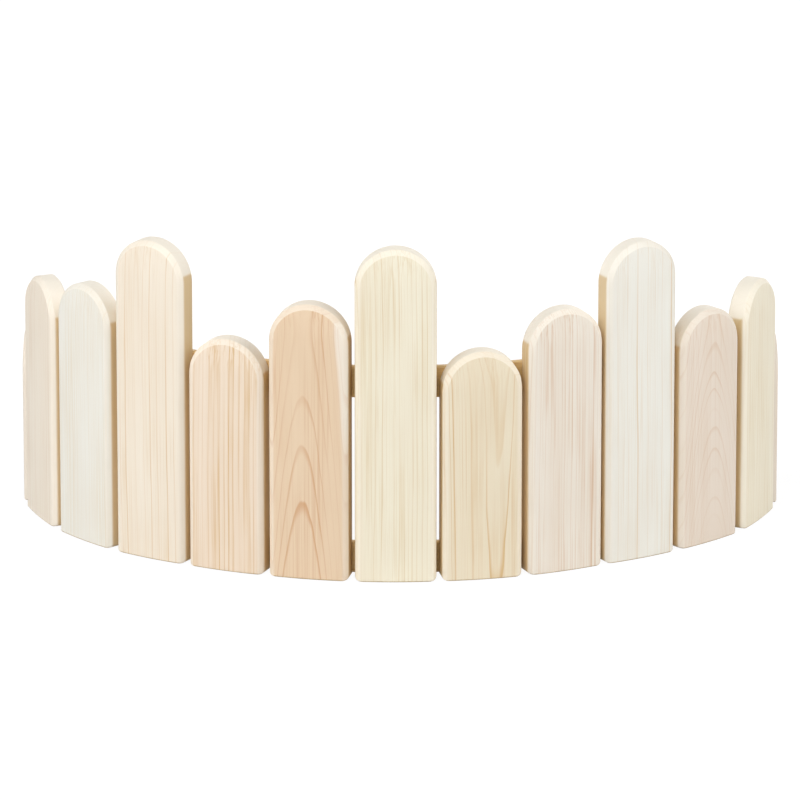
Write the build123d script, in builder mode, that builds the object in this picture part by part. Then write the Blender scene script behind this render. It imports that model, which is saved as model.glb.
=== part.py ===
"""Curved wooden garden edging: round-topped boards screwed to two bent rails.

Millimetres, +Z up. The convex show side faces -Y. The origin lies on the ground,
under the middle of the centre board's foot.
"""

import os
from math import asin, degrees, radians, tan

from build123d import *

# Boards: their heights from left to right, as seen from the show side
BOARD_HEIGHTS = (150, 219, 232, 286, 208, 246, 297, 204, 235, 285, 211, 219, 150)
BOARD_WIDTH = 70.0
BOARD_THICKNESS = 20.0
FACE_CAMBER = 2.0
FACE_CHAMFER = 4.0
BACK_CHAMFER = 1.2
FOOT_CORNER_RADIUS = 4.0

# Curve: the clear gap between the boards' backs, and the rails' turn in each gap, in degrees
BACK_GAP = 2.1
GAP_TURNS = (24, 19, 17, 9, 10, 13, 11, 13, 6, 12, 23, 27)

# Rails: flat where a board is screwed on, bent between these seats; the upper one spares the low end boards
RAIL_HEIGHT = 28.0
RAIL_THICKNESS = 7.0
RAIL_EDGE_CHAMFER = 1.2
RAIL_SEAT_WIDTH = 24.0
RAIL_END_REACH = 20.0
LOWER_RAIL_BASE = 2.0
UPPER_RAIL_BASE = 160.0

HALF_WIDTH = BOARD_WIDTH / 2
PITCH = BOARD_WIDTH + BACK_GAP
CENTRE_BOARD = len(BOARD_HEIGHTS) // 2


def next_seat(seat, turn, step):
    """Seat of the neighbouring board: half a pitch along, the turn of the gap, and half a pitch more."""
    half_pitch = Location((step * PITCH / 2, 0, 0))
    return seat * half_pitch * Location((0, 0, 0), (0, 0, step * turn)) * half_pitch


def board_seats():
    """Places of the boards, left to right: local X runs along the back, local Y points into the bed."""
    seats = [Location((0, BOARD_THICKNESS / 2, 0))]
    for turn in GAP_TURNS[CENTRE_BOARD:]:
        seats.append(next_seat(seats[-1], turn, 1))
    for turn in reversed(GAP_TURNS[:CENTRE_BOARD]):
        seats.insert(0, next_seat(seats[0], turn, -1))
    return seats


def draw_half_section():
    """Right half of a board's plan: cambered face, 45 degree chamfer, side, eased back edge and flat back."""
    camber_radius = (HALF_WIDTH**2 + FACE_CAMBER**2) / (2 * FACE_CAMBER)
    camber_angle = degrees(asin((HALF_WIDTH - FACE_CHAMFER) / camber_radius))
    with BuildSketch() as half_section:
        with BuildLine():
            face = CenterArc((0, camber_radius - BOARD_THICKNESS), camber_radius, -90, camber_angle)
            Polyline(
                face @ 1,
                face @ 1 + Vector(FACE_CHAMFER, FACE_CHAMFER),
                (HALF_WIDTH, -BACK_CHAMFER),
                (HALF_WIDTH - BACK_CHAMFER, 0),
                (0, 0),
                face @ 0,
            )
        make_face()
    return half_section.sketch


def make_board(half_section, seat, height):
    """One board: the section drawn up to the spring of the top, then turned half round to close it."""
    foot = Plane(seat)
    spring = foot.offset(height - HALF_WIDTH)
    back = Plane(origin=foot.origin, x_dir=foot.x_dir, z_dir=-foot.y_dir)
    with BuildPart() as board:
        with BuildSketch(foot):
            add(half_section)
            mirror(about=Plane.YZ)
        extrude(amount=height - HALF_WIDTH)
        with BuildSketch(spring):
            add(half_section)
        revolve(axis=Axis(spring.origin, -foot.y_dir), revolution_arc=180)
        with BuildSketch(back):
            with Locations((0, height / 2)):
                Rectangle(BOARD_WIDTH, height)
            fillet(vertices().group_by(Axis.Z)[0], FOOT_CORNER_RADIUS)
        extrude(amount=BOARD_THICKNESS, mode=Mode.INTERSECT)
    return board


def make_rail(seats, gap_turns, base):
    """One rail: a lath with a flat seat behind each of its boards and a tangent bend in each gap."""
    half_pitch = Location((PITCH / 2, 0, 0))
    corners = [(seat * half_pitch).position for seat in seats[:-1]]
    start = (seats[0] * Location((-RAIL_END_REACH, 0, 0))).position
    end = (seats[-1] * Location((RAIL_END_REACH, 0, 0))).position
    bend_reach = (PITCH - RAIL_SEAT_WIDTH) / 2
    radii = [bend_reach / tan(radians(turn / 2)) for turn in gap_turns]
    with BuildPart() as rail:
        with BuildSketch(Plane.XY.offset(base)):
            with BuildLine():
                FilletPolyline(start, *corners, end, radius=radii)
                offset(amount=RAIL_THICKNESS, side=Side.LEFT)
            make_face()
        extrude(amount=RAIL_HEIGHT)
        long_edges = rail.faces().filter_by(Axis.Z).edges()
        chamfer(long_edges, RAIL_EDGE_CHAMFER)
    return rail


os.makedirs("parts", exist_ok=True)
seats = board_seats()
half_section = draw_half_section()
for number, (seat, height) in enumerate(zip(seats, BOARD_HEIGHTS), start=1):
    board = make_board(half_section, seat, height)
    board.part.label = f"board_{number:02d}"
    export_step(board.part, f"parts/{board.part.label}.step")
lower_rail = make_rail(seats, GAP_TURNS, LOWER_RAIL_BASE)
upper_rail = make_rail(seats[1:-1], GAP_TURNS[1:-1], UPPER_RAIL_BASE)
for name, rail in (("lower_rail", lower_rail), ("upper_rail", upper_rail)):
    rail.part.label = name
    export_step(rail.part, f"parts/{name}.step")
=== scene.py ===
"""Looks of a curved wooden garden edging: thirteen round-topped boards on two bent rails.

Metres, +Z up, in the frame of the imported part. The show side faces -Y, and the boards are
numbered from left to right as seen from there.
"""
from collections import namedtuple

import bmesh
import bpy
import numpy as np
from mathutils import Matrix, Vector


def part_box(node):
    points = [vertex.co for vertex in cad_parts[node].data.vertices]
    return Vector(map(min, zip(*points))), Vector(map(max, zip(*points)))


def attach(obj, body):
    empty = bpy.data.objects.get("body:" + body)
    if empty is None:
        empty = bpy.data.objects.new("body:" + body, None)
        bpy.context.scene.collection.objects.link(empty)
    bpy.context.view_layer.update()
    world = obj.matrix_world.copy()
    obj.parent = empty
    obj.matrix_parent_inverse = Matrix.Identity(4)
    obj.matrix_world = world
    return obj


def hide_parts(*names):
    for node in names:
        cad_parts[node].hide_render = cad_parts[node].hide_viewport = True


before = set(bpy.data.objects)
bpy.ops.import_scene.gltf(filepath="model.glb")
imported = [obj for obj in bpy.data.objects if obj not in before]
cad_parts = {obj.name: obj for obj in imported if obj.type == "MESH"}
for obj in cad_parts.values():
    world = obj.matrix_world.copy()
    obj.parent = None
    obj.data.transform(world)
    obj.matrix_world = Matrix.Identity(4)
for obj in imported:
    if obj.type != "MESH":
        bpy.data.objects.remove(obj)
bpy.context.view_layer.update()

MM = 0.001
MERGE_DISTANCE = 0.002 * MM

# Boards
HALF_WIDTH = 35.0 * MM
BOARD_THICKNESS = 20.0 * MM
FACE_CAMBER = 2.0 * MM
FACE_CHAMFER = 4.0 * MM
BACK_CHAMFER = 1.2 * MM
FOOT_CORNER_RADIUS = 4.0 * MM
FOOT_CORNER_ROWS = 7
STRAIGHT_ROWS = 24
ROUND_TOP_ROWS = 97
FACE_COLUMNS = 12
BACK_COLUMNS = 6

# Eased edges of the boards: the steps of a rounding, how far each edge is eased, where the cut of the round
# top runs out, how pale the cut is with painted highlight in it, how much painted highlight the chamfers get,
# and how fast the painted contact shade darkens towards the foot
ROUNDING_STEPS = 4
SIDE_EASE = 1.8 * MM
CUT_EASE = 0.5 * MM
BACK_EASE = 0.4 * MM
FOOT_EASE = 1.2 * MM
CUT_ABOVE_SPRING = 8.0 * MM
CUT_RUN_OUT = 3.0 * MM
ROUND_TOP_PALE_AND_LIT = 0.6
CHAMFER_HIGHLIGHT = 0.45
CONTACT_SHADE_GAIN = 3.0

# Bow: the rails' turn in each gap between two boards
BACK_GAP = 2.1 * MM
GAP_TURNS = np.radians((24, 19, 17, 9, 10, 13, 11, 13, 6, 12, 23, 27))
PITCH = 2 * HALF_WIDTH + BACK_GAP

# Rails
RAIL_HEIGHT = 28.0 * MM
RAIL_THICKNESS = 7.0 * MM
RAIL_EDGE_CHAMFER = 1.2 * MM
RAIL_SEAT_WIDTH = 24.0 * MM
RAIL_END_REACH = 20.0 * MM
RAIL_EASE = 0.35 * MM
RAIL_ROUNDING_STEPS = 3
RAIL_ROWS = 240

# Screws: two on the skew behind each board on each rail
SCREW_RADIUS = 3.4 * MM
SCREW_HEIGHT = 1.1 * MM
SCREW_ALONG = 6.5 * MM
SCREW_RISE = 6.0 * MM
SCREW_SPOKES = 48
SCREW_SPIN = 2.4
DOME_REACHES = (1.0, 1.0, 0.93, 0.78)
DOME_LIFTS = (-0.2, 0.45, 0.72, 0.9)
RECESS_ARM = 1.9 * MM
RECESS_HALF_WIDTH = 0.42 * MM
RECESS_DEPTH = 0.9 * MM
RECESS_TAPER = 0.72

# Camera: fitted to the feet, edges and tops of the boards in an 800 by 800 picture
CAMERA_PLACE = (-51.6 * MM, -7333.6 * MM, 2494.0 * MM)
CAMERA_PITCH = np.radians(17.643)
CAMERA_YAW = np.radians(0.432)
CAMERA_LENS = 405.0
CAMERA_SENSOR = 36.0
CAMERA_SIGHT = 50.0

# Floor, in metres: the share of plain white in what the eye sees of it near the boards, and the distances
# from the middle between which it rises to all white
FLOOR_WHITE = 0.88
ALL_WHITE_FROM = 0.4
ALL_WHITE_AT = 0.8
FLOOR_GREY = 0.60
FLOOR_GLOW = 1.08
FLOOR_REACH = 12.0

# Light, in metres and watts: large square lamps aimed at the middle of the boards, in a dim room
ROOM_BRIGHTNESS = 0.10
LAMP_SIZE = 2.4
LAMP_AIM = (0.0, 0.1, 0.12)
LAMPS = (
    ("left_lamp", (-3.0, -1.0, 1.3), 44.0),
    ("right_lamp", (3.0, -0.9, 1.2), 60.0),
    ("front_lamp", (-1.1, -3.1, 1.5), 49.0),
    ("top_lamp", (-0.5, -1.2, 3.4), 48.0),
    ("back_lamp", (0.6, 3.2, 1.0), 42.0),
)


def ease_corners(corners, ease, steps):
    """Rounds each inner corner of a polyline by a parabola between the points one ease away from it.

    A point of the parabola is the blend (1-w)^2 start + 2w(1-w) corner + w^2 end. Returns the points and,
    for each, how near it is to the corner: 1 in the middle of the rounding, 0 where it starts and ends.
    """
    corners = np.asarray(corners, float)
    corner = corners[1:-1, None]
    reach = np.broadcast_to(np.asarray(ease, float), (len(corner),))[:, None, None]
    back = corners[:-2, None] - corner
    ahead = corners[2:, None] - corner
    start = corner + back / np.linalg.norm(back, axis=2, keepdims=True) * reach
    end = corner + ahead / np.linalg.norm(ahead, axis=2, keepdims=True) * reach
    w = np.linspace(0, 1, steps + 1)[None, :, None]
    curve = (1 - w) ** 2 * start + 2 * w * (1 - w) * corner + w**2 * end
    nearness = np.broadcast_to(4 * w * (1 - w), curve.shape[:2] + (1,))
    points = np.vstack((corners[:1], curve.reshape(-1, 2), corners[-1:]))
    return points, np.concatenate(([0.0], nearness.ravel(), [0.0]))


def grid_faces(rows, columns, wrap=False):
    """Quads of a grid of points stored row by row; with wrap the last column joins the first."""
    across = columns if wrap else columns - 1
    row, column = np.meshgrid(np.arange(rows - 1), np.arange(across), indexing="ij")
    beside = (column + 1) % columns
    here = row * columns
    ahead = here + columns
    quads = np.stack((here + column, here + beside, ahead + beside, ahead + column), axis=2)
    return quads.reshape(-1, 4).tolist()


def make_piece(name, points, faces, attributes, crease=40):
    """A closed mesh at the origin: doubles merged, faces turned outwards, smooth but for sharp edges.

    An edge is sharp where its two faces meet at more than the crease, in degrees.
    """
    mesh = bpy.data.meshes.new(name)
    mesh.from_pydata(points.reshape(-1, 3), [], faces)
    for key, values in attributes.items():
        layer = mesh.attributes.new(key, "FLOAT_VECTOR", "POINT")
        layer.data.foreach_set("vector", values.astype(np.float32).ravel())
    shape = bmesh.new()
    shape.from_mesh(mesh)
    bmesh.ops.remove_doubles(shape, verts=shape.verts, dist=MERGE_DISTANCE)
    bmesh.ops.recalc_face_normals(shape, faces=shape.faces)
    shape.to_mesh(mesh)
    shape.free()
    mesh.shade_smooth()
    mesh.set_sharp_from_angle(angle=np.radians(crease))
    piece = bpy.data.objects.new(name, mesh)
    bpy.context.scene.collection.objects.link(piece)
    return piece


Lath = namedtuple("Lath", "samples plan heading seat_rows")
Seat = namedtuple("Seat", "x y heading")


def lath_path(turns):
    """Path of a rail along the boards' backs: lengths along it, points, headings and the rows of its seats.

    The heading grows steadily along each bend and stays on each flat seat, so it is piecewise linear in the
    length. The points are the running sum of chords, and a chord of an arc points along its mean heading.
    """
    lengths = np.full(2 * len(turns) + 1, RAIL_SEAT_WIDTH)
    lengths[[0, -1]] += RAIL_END_REACH - RAIL_SEAT_WIDTH / 2
    lengths[1::2] = (PITCH - RAIL_SEAT_WIDTH) / 2 / np.tan(turns / 2) * turns
    bends = np.zeros_like(lengths)
    bends[1::2] = turns
    stations = np.concatenate(([0.0], np.cumsum(lengths)))
    headings = np.concatenate(([0.0], np.cumsum(bends)))
    seats = stations[0:-1:2] + RAIL_SEAT_WIDTH / 2
    seats[0] = RAIL_END_REACH
    centre = seats[len(seats) // 2]
    headings -= np.interp(centre, stations, headings)
    ends = np.array((0.0, RAIL_EDGE_CHAMFER / 2, RAIL_EDGE_CHAMFER, 2 * RAIL_EDGE_CHAMFER))
    even = np.linspace(0, stations[-1], RAIL_ROWS)[2:-2]
    samples = np.unique(np.concatenate((ends, even, stations[-1] - ends, stations, seats)))
    heading = np.interp(samples, stations, headings)
    half_turn = np.diff(heading) / 2
    mean = heading[:-1] + half_turn
    chord = np.diff(samples) * np.sinc(half_turn / np.pi)
    plan = np.zeros((len(samples), 2))
    plan[1:, 0] = np.cumsum(chord * np.cos(mean))
    plan[1:, 1] = np.cumsum(chord * np.sin(mean))
    plan -= plan[np.searchsorted(samples, centre)] - (0.0, BOARD_THICKNESS / 2)
    return Lath(samples, plan, heading, np.searchsorted(samples, seats))


def between_roundings(place, first, last):
    """1 for places from one rounding to another, counted in points from the first rounding, 0 outside them.

    A rounding has one point more than its steps. The value rises over two steps in the middle of the first
    rounding and falls over two in the middle of the last.
    """
    points = ROUNDING_STEPS + 1
    start = first * points + 1
    end = (last + 1) * points - 1
    return np.clip(np.minimum(place - start, end - place) / 2, 0, 1)


def board_section(ease):
    """Right half of a board's section, from the middle of the face round to the middle of the back.

    Each point is its reach from the middle line and its depth from the back. The face is an arc with the
    camber as its rise over the half width, followed by a chamfer at 45 degrees, the side, and the eased back
    edge. The points of the face and the back stand even, but for one more next to the first rounding.
    Returned with the section are three weights: how near a point is to an arris, if it is on the chamfer or
    the eased back edge, and if it is on the side.
    """
    radius = (HALF_WIDTH**2 + FACE_CAMBER**2) / (2 * FACE_CAMBER)
    face_end = HALF_WIDTH - FACE_CHAMFER
    face_reach = np.append(np.linspace(0, face_end - 3 * ease, FACE_COLUMNS), face_end - 1.3 * ease)
    reach = np.append(face_reach, face_end)
    depth = -BOARD_THICKNESS + radius - np.sqrt(radius**2 - reach**2)
    shoulder = depth[-1] + FACE_CHAMFER
    corners = (
        (reach[-2], depth[-2]),
        (face_end, depth[-1]),
        (HALF_WIDTH, shoulder),
        (HALF_WIDTH, -BACK_CHAMFER),
        (HALF_WIDTH - BACK_CHAMFER, 0),
        (HALF_WIDTH - 3 * BACK_CHAMFER, 0),
    )
    turned, nearness = ease_corners(corners, (ease, ease, BACK_EASE, BACK_EASE), ROUNDING_STEPS)
    face = np.column_stack((face_reach, depth[:-1]))
    back_reach = np.linspace(HALF_WIDTH - 3 * BACK_CHAMFER, 0, BACK_COLUMNS)[1:]
    back = np.column_stack((back_reach, np.zeros_like(back_reach)))
    section = np.vstack((face, turned[1:], back))
    place = np.arange(len(section)) - len(face)
    arris = np.concatenate((np.zeros(len(face)), nearness[1:], np.zeros(len(back))))
    edge = between_roundings(place, 0, 3)
    side = between_roundings(place, 1, 2)
    return section, np.column_stack((arris, edge - side, side))


def make_board(name, seat, height):
    """One board: each point of the half section at its reach out from a middle line, in a turning direction.

    The middle line runs from the foot to the spring of the round top. Rows go up its left side, turn half
    round at the spring and come down the right side. Near the foot the reach is limited by a quarter circle.
    The crisp section of the cut round top runs out into the softer one of the sides. A quarter circle also
    draws the section in towards its middle at the very foot. The edge weights are nearness to an arris, the
    pale cut of the round top with painted highlight on it and painted highlight on the chamfers, and the
    straight sides, whose tan is partly painted shade of the gaps and which goes on to 2 for a painted contact
    shade at the foot.
    """
    soft, weights = board_section(SIDE_EASE)
    crisp, _ = board_section(CUT_EASE)
    spring = height - HALF_WIDTH
    corner = FOOT_CORNER_RADIUS * (1 - np.cos(np.linspace(0, np.pi / 2, FOOT_CORNER_ROWS)))
    rise = np.concatenate((corner, np.linspace(FOOT_CORNER_RADIUS, spring, STRAIGHT_ROWS)[1:-1]))
    turn = np.linspace(np.pi, 0, ROUND_TOP_ROWS)
    direction = np.concatenate((np.full(len(rise), np.pi), turn, np.zeros(len(rise))))
    axis_height = np.concatenate((rise, np.full(len(turn), spring), rise[::-1]))
    above_cut = HALF_WIDTH * np.sin(direction) - CUT_ABOVE_SPRING
    round_top = np.clip(above_cut / CUT_RUN_OUT + 0.5, 0, 1)[:, None]
    section = soft + round_top[:, :, None] * (crisp - soft)
    below_corner = np.clip(FOOT_CORNER_RADIUS - axis_height, 0, None)
    limit = HALF_WIDTH - FOOT_CORNER_RADIUS + np.sqrt(FOOT_CORNER_RADIUS**2 - below_corner**2)
    foot_nearness = np.clip(1 - axis_height / FOOT_EASE, 0, 1)[:, None]
    draw_in = FOOT_EASE * (1 - np.sqrt(1 - foot_nearness**2))
    reach = np.minimum(section[:, :, 0], limit[:, None]) * (1 - draw_in / HALF_WIDTH)
    across = reach * np.cos(direction)[:, None]
    up = axis_height[:, None] + reach * np.sin(direction)[:, None]
    middle = -BOARD_THICKNESS / 2
    depth = middle + (section[:, :, 1] - middle) * (1 + draw_in / middle)
    points = np.stack(
        (
            seat.x + across * np.cos(seat.heading) - depth * np.sin(seat.heading),
            seat.y + across * np.sin(seat.heading) + depth * np.cos(seat.heading),
            up,
        ),
        axis=2,
    )
    rows, columns = across.shape
    left_foot = np.arange(columns)
    right_foot = (rows - 1) * columns + np.arange(columns)
    foot = np.concatenate((left_foot, right_foot[::-1])).tolist()
    arris, chamfer, side = weights.T
    # Painted highlight: paleness on the chamfers, and on the round top its pale fresh cut with painted
    # highlight on it
    cut = (CHAMFER_HIGHLIGHT + (ROUND_TOP_PALE_AND_LIT - CHAMFER_HIGHLIGHT) * round_top) * chamfer + round_top * side
    # Painted shade: the tan of the straight sides stands partly for shade in the gaps, and near the foot the
    # weight rises to 2 for a painted contact shade
    tan = np.maximum((1 - round_top) * side, np.clip(CONTACT_SHADE_GAIN * foot_nearness, 0, 2))
    edges = np.stack((np.broadcast_to(arris, across.shape), cut, tan), axis=2)
    return make_piece(name, points, grid_faces(rows, columns) + [foot], {"edges": edges.reshape(-1, 3)})


def make_rail(name, lath, base):
    """One rail: a chamfered upright section carried along the boards' backs, on the side of the bed.

    A point stands its offset to the left of the path and its rise above the rail's base. At the two ends the
    section closes in by the chamfer. The grain coordinates are the rise, the offset and the length along, in
    millimetres.
    """
    top = RAIL_HEIGHT - RAIL_EDGE_CHAMFER
    inner = RAIL_THICKNESS - RAIL_EDGE_CHAMFER
    middle = RAIL_HEIGHT / 2
    corners = (
        (0, middle),
        (0, RAIL_EDGE_CHAMFER),
        (RAIL_EDGE_CHAMFER, 0),
        (inner, 0),
        (RAIL_THICKNESS, RAIL_EDGE_CHAMFER),
        (RAIL_THICKNESS, top),
        (inner, RAIL_HEIGHT),
        (RAIL_EDGE_CHAMFER, RAIL_HEIGHT),
        (0, top),
        (0, middle),
    )
    section, nearness = ease_corners(corners, RAIL_EASE, RAIL_ROUNDING_STEPS)
    section, nearness = section[:-1], nearness[:-1]
    from_end = np.minimum(lath.samples, lath.samples[-1] - lath.samples)
    close = np.clip(RAIL_EDGE_CHAMFER - from_end, 0, None)[:, None]
    rise = np.clip(section[None, :, 1], close, RAIL_HEIGHT - close)
    offset = np.broadcast_to(section[None, :, 0], rise.shape)
    points = np.stack(
        (
            lath.plan[:, :1] - offset * np.sin(lath.heading)[:, None],
            lath.plan[:, 1:] + offset * np.cos(lath.heading)[:, None],
            base + rise,
        ),
        axis=2,
    )
    rows, columns = rise.shape
    first = list(range(columns))
    last = list(range((rows - 1) * columns, rows * columns))[::-1]
    grain = np.stack((rise, offset, np.broadcast_to(lath.samples[:, None], rise.shape)), axis=2) / MM
    edges = np.zeros(grain.shape)
    edges[..., 0] = nearness
    attributes = {"edges": edges.reshape(-1, 3), "lath_grain": grain.reshape(-1, 3)}
    return make_piece(name, points, grid_faces(rows, columns, wrap=True) + [first, last], attributes)


def make_screws(name, lath, base):
    """Low domed screw heads on a rail's inner side, two on the skew behind each board, as one mesh.

    A head is rings about its axis: foot, rim, two rings of the dome, the lip of a cross recess and its floor.
    The cross in polar form is the larger of two arms, each as far out as its half width over the sine or the
    cosine of the angle, up to the arm's length.
    """
    angle = np.linspace(0, 2 * np.pi, SCREW_SPOKES, endpoint=False)
    along_arm = RECESS_HALF_WIDTH / np.maximum(np.abs(np.sin(angle)), 1e-6)
    cross_arm = RECESS_HALF_WIDTH / np.maximum(np.abs(np.cos(angle)), 1e-6)
    cross = np.maximum(np.minimum(along_arm, RECESS_ARM), np.minimum(cross_arm, RECESS_ARM))
    dome = np.outer(DOME_REACHES, np.full_like(angle, SCREW_RADIUS))
    rings = np.vstack((dome, cross, RECESS_TAPER * cross, 0 * cross))
    recess_floor = SCREW_HEIGHT - RECESS_DEPTH
    dome_lift = SCREW_HEIGHT * np.array(DOME_LIFTS)
    lift = np.concatenate((dome_lift, (SCREW_HEIGHT, recess_floor, recess_floor)))
    side = np.repeat(np.array((-1.0, 1.0)), len(lath.seat_rows))
    row = np.tile(lath.seat_rows, 2)
    spin = SCREW_SPIN * np.arange(len(side))
    direction = angle[None, :] + spin[:, None]
    flat = side[:, None, None] * SCREW_ALONG + rings[None] * np.cos(direction)[:, None]
    up = side[:, None, None] * SCREW_RISE + rings[None] * np.sin(direction)[:, None]
    out = np.broadcast_to((RAIL_THICKNESS + lift)[None, :, None], flat.shape)
    turn = lath.heading[row][:, None, None]
    points = np.stack(
        (
            lath.plan[row, 0][:, None, None] + flat * np.cos(turn) - out * np.sin(turn),
            lath.plan[row, 1][:, None, None] + flat * np.sin(turn) + out * np.cos(turn),
            base + RAIL_HEIGHT / 2 + up,
        ),
        axis=3,
    )
    ring_count, spokes = rings.shape
    head = np.array(grid_faces(ring_count, spokes, wrap=True))
    start = np.arange(len(side)) * ring_count * spokes
    walls = (start[:, None, None] + head[None]).reshape(-1, 4).tolist()
    feet = (start[:, None] + np.arange(spokes)[None]).tolist()
    return make_piece(name, points, walls + feet, {}, crease=30)


class Value:
    """A socket of a shader; sums and products of values add Math nodes."""

    def __init__(self, shader, socket):
        self.shader = shader
        self.socket = socket

    def math(self, operation, *values):
        return self.shader.node("ShaderNodeMath", {"operation": operation}, dict(enumerate(values)))

    def __add__(self, other):
        return self.math("ADD", self, other)

    def __radd__(self, other):
        return self.math("ADD", other, self)

    def __sub__(self, other):
        return self.math("SUBTRACT", self, other)

    def __rsub__(self, other):
        return self.math("SUBTRACT", other, self)

    def __mul__(self, other):
        return self.math("MULTIPLY", self, other)

    def __rmul__(self, other):
        return self.math("MULTIPLY", other, self)

    def __truediv__(self, other):
        return self.math("DIVIDE", self, other)

    def root(self):
        return self.math("SQRT", self)

    def fraction(self):
        return self.math("FRACT", self)

    def floor(self):
        return self.math("FLOOR", self)

    def size(self):
        return self.math("ABSOLUTE", self)


class Shader:
    """The node tree of a material or world, with one method that adds a node."""

    def __init__(self, owner):
        owner.use_nodes = True
        self.owner = owner
        self.tree = owner.node_tree
        self.tree.nodes.clear()

    def node(self, kind, settings=None, sockets=None, output=0):
        """Adds a node: its settings, then the values or links of its sockets. Returns one of its outputs."""
        made = self.tree.nodes.new(kind)
        for key, value in (settings or {}).items():
            setattr(made, key, value)
        for key, value in (sockets or {}).items():
            if isinstance(value, Value):
                self.tree.links.new(value.socket, made.inputs[key])
            else:
                made.inputs[key].default_value = value
        return Value(self, made.outputs[output]) if made.outputs else None

    def parts(self, vector):
        """The three numbers of a vector."""
        return [self.node("ShaderNodeSeparateXYZ", None, {0: vector}, axis) for axis in range(3)]

    def vector(self, x, y, z):
        return self.node("ShaderNodeCombineXYZ", None, {0: x, 1: y, 2: z})

    def noise(self, vector, kind, seed=0.0):
        """Smooth noise about 0 of one kind, with its own pattern for each seed."""
        place = self.node("ShaderNodeVectorMath", {"operation": "MULTIPLY"}, {0: vector, 1: kind.scale})
        sockets = {
            "Vector": place,
            "W": seed + kind.seed,
            "Scale": 1.0,
            "Detail": kind.detail,
            "Roughness": kind.roughness,
        }
        return self.node("ShaderNodeTexNoise", {"noise_dimensions": "4D"}, sockets) - 0.5

    def step(self, value, low, high):
        """Rises smoothly from 0 at low to 1 at high."""
        sockets = {"Value": value, "From Min": low, "From Max": high}
        return self.node("ShaderNodeMapRange", {"interpolation_type": "SMOOTHSTEP"}, sockets)

    def mix(self, factor, first, second):
        """Blends two colours."""
        return self.node("ShaderNodeMix", {"data_type": "RGBA"}, {0: factor, 6: first, 7: second}, 2)

    def finish(self, surface, kind="ShaderNodeOutputMaterial"):
        self.node(kind, None, {"Surface": surface})
        return self.owner


def tint(red, green, blue):
    """A colour written in display steps of 0 to 255, as linear light."""
    display = np.array((red, green, blue)) / 255
    linear = np.where(display > 0.04045, ((display + 0.055) / 1.055) ** 2.4, display / 12.92)
    return (*linear.tolist(), 1.0)


# Plain white, and the colours of the wood and the screws
WHITE = (1.0, 1.0, 1.0, 1.0)
CREAM = tint(242, 232, 216)
ROSE_CREAM = tint(240, 231, 216)
ROSE_WHITE = tint(239, 232, 220)
SAGE_WHITE = tint(236, 234, 225)
STRAW = tint(237, 226, 202)
IVORY = tint(243, 236, 215)
PALE_IVORY = tint(247, 240, 220)
PALE_SAGE = tint(239, 237, 228)
ROSE_BEIGE = tint(235, 223, 209)
PEACH = tint(242, 227, 210)
SALMON = tint(234, 211, 182)
HONEY = tint(226, 191, 130)
TAN_LINE = tint(212, 173, 114)
ROSE_LINE = tint(206, 164, 124)
STRAW_LINE = tint(210, 180, 122)
SALMON_LINE = tint(203, 150, 104)
HONEY_LINE = tint(200, 153, 92)
SAP_WHITE = tint(246, 238, 224)
# Pale colour of the fresh cut wood, also laid on the chamfers and the round top as painted highlight
PALE_CUT_AND_HIGHLIGHT = tint(247, 240, 226)
# Tan of the boards' straight sides, partly their own colour and partly painted shade of the gaps between
# boards
GAP_SHADED_TAN = tint(212, 178, 116)
FIBRE_SHADE = tint(206, 172, 130)
# Painted contact shade: a dark line along the boards' feet
PAINTED_CONTACT_SHADE = tint(124, 110, 84)
BRIGHT_ZINC = tint(196, 192, 180)
DULL_ZINC = tint(168, 164, 154)

# Figure of a board: its two colours, the pith across and behind the back in mm, the rings' taper, ring width
# in mm, the share of late wood in a ring, how strong the rings show, the ring radius in mm past which the
# wood is pale sapwood, and how strong hair lines and broad bands show
Figure = namedtuple(
    "Figure",
    "wood line pith_across pith_behind taper ring_width late contrast sap_radius hairs bands",
)
FIGURES = (
    Figure(ROSE_BEIGE, ROSE_LINE, 90, 30, 0.010, 4.0, 0.3, 0.5, 400, 0.3, 0.3),
    Figure(ROSE_CREAM, ROSE_LINE, 120, 60, 0.010, 4.0, 0.3, 0.25, 400, 0.2, 0.2),
    Figure(SAGE_WHITE, STRAW_LINE, -140, 40, 0.006, 4.5, 0.3, 0.25, 400, 0.2, 0.1),
    Figure(CREAM, TAN_LINE, -120, 30, 0.004, 7.5, 0.18, 0.85, 400, 0.25, 0.2),
    Figure(PEACH, TAN_LINE, 150, 40, 0.006, 4.4, 0.4, 1.0, 400, 0.7, 0.45),
    Figure(SALMON, SALMON_LINE, -4, 18, 0.042, 2.4, 0.3, 0.9, 55.5, 0.4, 0.3),
    Figure(IVORY, STRAW_LINE, 160, 50, 0.004, 3.6, 0.25, 0.6, 400, 0.35, 0.3),
    Figure(STRAW, TAN_LINE, 11, 8, -0.014, 2.6, 0.3, 0.9, 70, 0.4, 0.4),
    Figure(ROSE_WHITE, ROSE_LINE, 140, 60, 0.008, 3.0, 0.3, 0.6, 400, 0.5, 0.25),
    Figure(PALE_SAGE, TAN_LINE, -150, 30, 0.004, 8.5, 0.15, 0.7, 400, 0.2, 0.1),
    Figure(ROSE_BEIGE, ROSE_LINE, 2, 6, 0.120, 2.4, 0.3, 0.32, 400, 0.2, 0.2),
    Figure(PALE_IVORY, STRAW_LINE, 130, 40, 0.006, 3.5, 0.3, 0.35, 400, 0.3, 0.2),
    Figure(ROSE_BEIGE, ROSE_LINE, -90, 30, 0.010, 4.0, 0.3, 0.5, 400, 0.3, 0.3),
)
RAIL_FIGURE = Figure(HONEY, HONEY_LINE, 140, 60, 0.004, 3.6, 0.5, 0.7, 400, 0.4, 0.4)

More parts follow.
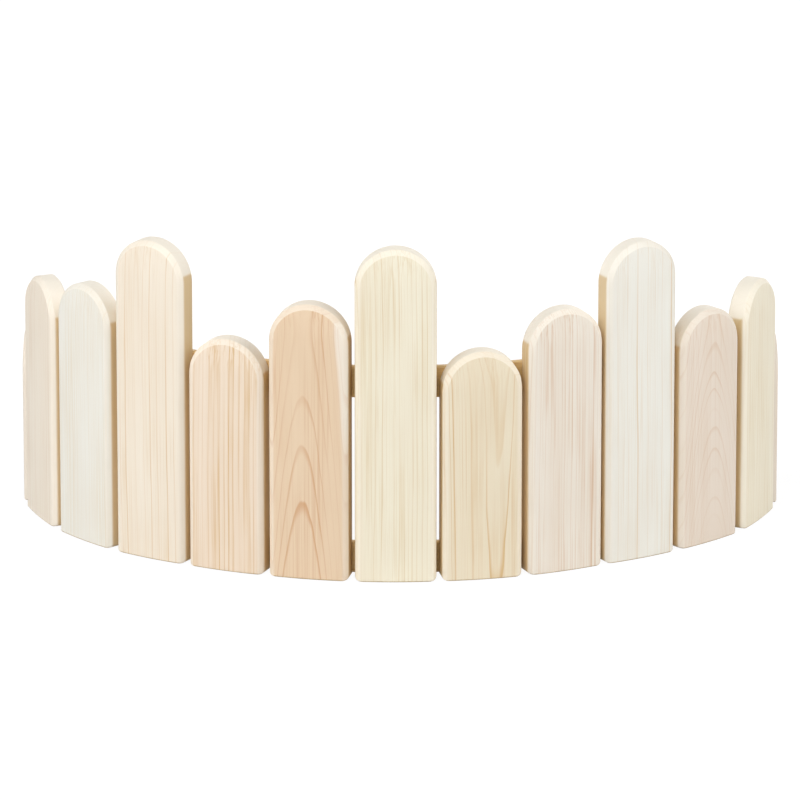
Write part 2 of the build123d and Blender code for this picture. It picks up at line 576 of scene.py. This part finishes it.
# Noises of the wood, in features per mm across, into and along the grain, and one in features per ring
Noise = namedtuple("Noise", "scale seed detail roughness")
WANDER = Noise((0.010, 0.010, 0.005), 0.0, 1.0, 0.5)
SWELL = Noise((0.4, 0.0, 0.0), 5.0, 2.0, 0.5)
RIPPLE = Noise((0.05, 0.05, 0.012), 11.0, 2.0, 0.5)
FADE = Noise((0.06, 0.06, 0.006), 15.0, 1.0, 0.5)
THREAD = Noise((0.30, 0.30, 0.0018), 21.0, 3.0, 0.6)
FIBRE = Noise((1.3, 1.3, 0.015), 31.0, 3.0, 0.65)
BAND = Noise((0.07, 0.07, 0.0015), 41.0, 1.0, 0.5)
CLOUD = Noise((0.03, 0.03, 0.012), 51.0, 1.0, 0.5)

# Noise of the zinc, in features per metre
SPANGLE = Noise((900.0, 900.0, 900.0), 2.0, 2.0, 0.5)

# Step between the boards' seeds
BOARD_SEED_STEP = 3.7

# How far the pith wanders, the rings ripple and the pale wood's edge ripples in mm, and how far the rings
# swell in ring widths
PITH_WANDER = 7.0
RING_RIPPLE = 1.6
SAP_RIPPLE = 2.0
RING_SWELL = 2.2

# The age in a ring at which its late wood is darkest, how dark the palest ring is, and half the width of the
# pale wood's edge in mm
LATE_PEAK = 0.94
LEAST_LUCK = 0.15
SAP_BLUR = 1.5

# Noise values from which each kind begins to show and at which it shows whole; a hair ends at its half width
LATE_SHOWS = (-0.35, 0.15)
HAIR_SHOWS = (-0.2, 0.3)
BAND_SHOWS = (-0.25, 0.3)
CLOUD_SHOWS = (-0.2, 0.3)
FIBRE_SHOWS = (0.0, 0.30)
HAIR_HALF_WIDTH = 0.06

# Largest shares of the colours that are laid over the wood, painted gap and contact shade and painted
# highlight among them
BAND_SHARE = 0.45
CLOUD_SHARE = 0.10
FIBRE_SHARE = 0.25
SIDE_SHARE = 0.7
CONTACT_SHADE_SHARE = 0.8
CUT_AND_HIGHLIGHT_SHARE = 0.8
ARRIS_HIGHLIGHT_SHARE = 0.20

# Relief of the planed wood: what fibres and threads add to its height and late wood takes away, and its depth
FIBRE_HEIGHT = 0.6
THREAD_HEIGHT = 0.4
LATE_HOLLOW = 0.25
RELIEF_DEPTH = 0.12 * MM

# Roughness of the planed wood, and what fibres and the cut add to it and an arris takes away
WOOD_ROUGHNESS = 0.58
FIBRE_ROUGHNESS = 0.25
CUT_ROUGHNESS = 0.12
ARRIS_POLISH = 0.06


def planed_wood(shader, grain, figure, seed):
    """Planed softwood with its growth rings as cones about the pith, seen where the surface cuts them.

    grain gives millimetres across the board, into it and along it. The ring number is the distance from the
    pith, plus the taper along the board, over the ring width. Each ring darkens slowly to its late wood and
    ends sharply. Hair lines lie where a noise drawn out along the grain passes through zero.
    """
    wander = shader.noise(grain, WANDER, seed)
    ripple = shader.noise(grain, RIPPLE, seed)
    fade = shader.noise(grain, FADE, seed)
    thread = shader.noise(grain, THREAD, seed)
    fibre = shader.noise(grain, FIBRE, seed)
    band = shader.noise(grain, BAND, seed)
    cloud = shader.noise(grain, CLOUD, seed)
    across, into, along = shader.parts(grain)
    aside = across - figure.pith_across + PITH_WANDER * wander
    behind = into - figure.pith_behind
    distance = (aside * aside + behind * behind).root()
    radius = distance + along * figure.taper + RING_RIPPLE * ripple
    even_rings = radius / figure.ring_width
    swell = shader.noise(shader.vector(even_rings, 0.0, 0.0), SWELL, seed)
    rings = even_rings + RING_SWELL * swell
    age = rings.fraction()
    luck = shader.node("ShaderNodeTexWhiteNoise", {"noise_dimensions": "1D"}, {"W": rings.floor() + seed})
    darkening = shader.step(age, 1.0 - figure.late, LATE_PEAK)
    late = darkening * (1.0 - shader.step(age, LATE_PEAK, 1.0))
    late = late * (LEAST_LUCK + (1.0 - LEAST_LUCK) * luck) * shader.step(fade, *LATE_SHOWS)
    hair = 1.0 - shader.step(thread.size(), 0.0, HAIR_HALF_WIDTH)
    hair = hair * shader.step(fade + ripple, *HAIR_SHOWS)
    pale_edge = (figure.sap_radius - SAP_BLUR, figure.sap_radius + SAP_BLUR)
    sapwood = shader.step(radius + SAP_RIPPLE * ripple, *pale_edge)
    colour = shader.mix(sapwood, figure.wood, SAP_WHITE)
    colour = shader.mix(shader.step(band, *BAND_SHOWS) * BAND_SHARE * figure.bands, colour, figure.line)
    colour = shader.mix(shader.step(cloud, *CLOUD_SHOWS) * CLOUD_SHARE, colour, FIBRE_SHADE)
    colour = shader.mix(late * figure.contrast, colour, figure.line)
    colour = shader.mix(hair * figure.hairs, colour, figure.line)
    colour = shader.mix(shader.step(fibre, *FIBRE_SHOWS) * FIBRE_SHARE, colour, FIBRE_SHADE)
    edges = shader.node("ShaderNodeAttribute", {"attribute_name": "edges"}, None, "Vector")
    arris, cut, side = shader.parts(edges)
    # Painted shade: the tan of the straight sides is partly their own colour and partly painted shade of the
    # gaps
    colour = shader.mix(shader.step(side, 0.0, 1.0) * SIDE_SHARE, colour, GAP_SHADED_TAN)
    # Painted shade: a dark contact line where the side weight goes past 1 at the foot
    colour = shader.mix(shader.step(side, 1.0, 2.0) * CONTACT_SHADE_SHARE, colour, PAINTED_CONTACT_SHADE)
    # The pale fresh cut of the round top with painted highlight on it, and painted highlight on the chamfers
    colour = shader.mix(cut * CUT_AND_HIGHLIGHT_SHARE, colour, PALE_CUT_AND_HIGHLIGHT)
    # Painted highlight: a pale line along each arris
    colour = shader.mix(arris * ARRIS_HIGHLIGHT_SHARE, colour, SAP_WHITE)
    height = fibre * FIBRE_HEIGHT + thread * THREAD_HEIGHT - late * LATE_HOLLOW
    relief = {"Strength": 0.35, "Distance": RELIEF_DEPTH, "Height": height}
    normal = shader.node("ShaderNodeBump", None, relief)
    roughness = WOOD_ROUGHNESS + FIBRE_ROUGHNESS * fibre + CUT_ROUGHNESS * cut - ARRIS_POLISH * arris
    surface = shader.node(
        "ShaderNodeBsdfPrincipled",
        None,
        {
            "Base Color": colour,
            "Roughness": roughness,
            "Specular IOR Level": 0.35,
            "Normal": normal,
        },
    )
    return shader.finish(surface)


def board_wood(number, seat):
    """The wood of one board: its grain runs up the board, across and into it from the middle of its back."""
    shader = Shader(bpy.data.materials.new(f"planed_wood_{number:02d}"))
    place = shader.node("ShaderNodeTexCoord", None, None, "Object")
    settings = {"vector_type": "TEXTURE"}
    sockets = {
        "Vector": place,
        "Location": (seat.x, seat.y, 0.0),
        "Rotation": (0.0, 0.0, seat.heading),
        "Scale": (MM, MM, MM),
    }
    grain = shader.node("ShaderNodeMapping", settings, sockets)
    return planed_wood(shader, grain, FIGURES[number - 1], BOARD_SEED_STEP * number)


def rail_wood(node, seed):
    """The wood of a bent rail: its grain follows the lath, so it reads the lath's own coordinates."""
    shader = Shader(bpy.data.materials.new(f"planed_wood_{node}"))
    grain = shader.node("ShaderNodeAttribute", {"attribute_name": "lath_grain"}, None, "Vector")
    return planed_wood(shader, grain, RAIL_FIGURE, seed)


def zinc_plate():
    """Dull zinc plate with faint cloudy spangle."""
    shader = Shader(bpy.data.materials.new("zinc_plate"))
    place = shader.node("ShaderNodeTexCoord", None, None, "Object")
    spangle = shader.noise(place, SPANGLE)
    colour = shader.mix(0.5 + spangle, BRIGHT_ZINC, DULL_ZINC)
    surface = shader.node(
        "ShaderNodeBsdfPrincipled",
        None,
        {"Base Color": colour, "Metallic": 1.0, "Roughness": 0.38 + 0.3 * spangle},
    )
    return shader.finish(surface)


def dress(piece, material, node=None):
    """Gives a piece its material, and its place in the part."""
    piece.data.materials.append(material)
    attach(piece, "root")
    if node:
        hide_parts(node)


lower_lath = lath_path(GAP_TURNS)
upper_lath = lath_path(GAP_TURNS[1:-1])
seats = [Seat(*lower_lath.plan[row], lower_lath.heading[row]) for row in lower_lath.seat_rows]

for number, seat in enumerate(seats, start=1):
    node = f"board_{number:02d}"
    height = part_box(node)[1].z
    board = make_board(f"planed_{node}", seat, height)
    dress(board, board_wood(number, seat), node)

screw_finish = zinc_plate()
for seed, node, lath in ((61.0, "lower_rail", lower_lath), (83.0, "upper_rail", upper_lath)):
    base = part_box(node)[0].z
    rail = make_rail(f"bent_{node}", lath, base)
    dress(rail, rail_wood(node, seed), node)
    screws = make_screws(f"{node}_screws", lath, base)
    dress(screws, screw_finish)


def seen(shader):
    """1 for rays from the eye and for mirror-like reflections, 0 for light that is scattered on."""
    eye = shader.node("ShaderNodeLightPath", None, None, "Is Camera Ray")
    gloss = shader.node("ShaderNodeLightPath", None, None, "Is Glossy Ray")
    return eye + gloss


def white_floor():
    """White floor: plain white to the eye and in reflections, but for faint shading round the boards."""
    floor = Shader(bpy.data.materials.new("white_floor"))
    place = floor.node("ShaderNodeTexCoord", None, None, "Object")
    distance = floor.node("ShaderNodeVectorMath", {"operation": "LENGTH"}, {0: place}, "Value")
    share = FLOOR_WHITE + (1.0 - FLOOR_WHITE) * floor.step(distance, ALL_WHITE_FROM, ALL_WHITE_AT)
    matt = floor.node("ShaderNodeBsdfDiffuse", None, {"Color": (FLOOR_GREY, FLOOR_GREY, FLOOR_GREY, 1.0)})
    white = floor.node("ShaderNodeEmission", None, {"Color": WHITE, "Strength": FLOOR_GLOW})
    surface = floor.node("ShaderNodeMixShader", None, {0: seen(floor) * share, 1: matt, 2: white})
    return floor.finish(surface)


def make_floor():
    """A level square well past the view, at the height of the boards' feet."""
    corners = np.array(((-1, -1, 0), (1, -1, 0), (1, 1, 0), (-1, 1, 0)), float) * FLOOR_REACH
    mesh = bpy.data.meshes.new("floor")
    mesh.from_pydata(corners, [], [(0, 1, 2, 3)])
    floor = bpy.data.objects.new("floor", mesh)
    bpy.context.scene.collection.objects.link(floor)
    mesh.materials.append(white_floor())


def make_world():
    """An even dim room that is white to the eye and in reflections."""
    room = Shader(bpy.data.worlds.new("pale_room"))
    light = room.node("ShaderNodeBackground", None, {"Color": WHITE, "Strength": ROOM_BRIGHTNESS})
    white = room.node("ShaderNodeBackground", None, {"Color": WHITE, "Strength": 1.0})
    surface = room.node("ShaderNodeMixShader", None, {0: seen(room), 1: light, 2: white})
    bpy.context.scene.world = room.finish(surface, "ShaderNodeOutputWorld")


def make_lamp(name, place, power):
    """A large soft square lamp that faces the middle of the boards."""
    data = bpy.data.lights.new(name, "AREA")
    data.size = LAMP_SIZE
    data.energy = power
    lamp = bpy.data.objects.new(name, data)
    lamp.location = place
    sight = Vector(LAMP_AIM) - Vector(place)
    lamp.rotation_euler = sight.to_track_quat("-Z", "Y").to_euler()
    lamp.visible_camera = False
    bpy.context.scene.collection.objects.link(lamp)


def make_camera():
    """The camera looks along +Y, turned by its yaw towards +X and down by its pitch."""
    data = bpy.data.cameras.new("camera")
    data.lens = CAMERA_LENS
    data.sensor_width = CAMERA_SENSOR
    data.sensor_fit = "HORIZONTAL"
    data.clip_end = CAMERA_SIGHT
    camera = bpy.data.objects.new("camera", data)
    camera.location = CAMERA_PLACE
    camera.rotation_euler = (np.pi / 2 - CAMERA_PITCH, 0.0, -CAMERA_YAW)
    bpy.context.scene.collection.objects.link(camera)
    bpy.context.scene.camera = camera


make_floor()
make_world()
for name, place, power in LAMPS:
    make_lamp(name, place, power)
make_camera()
bpy.context.scene.view_settings.view_transform = "Standard"
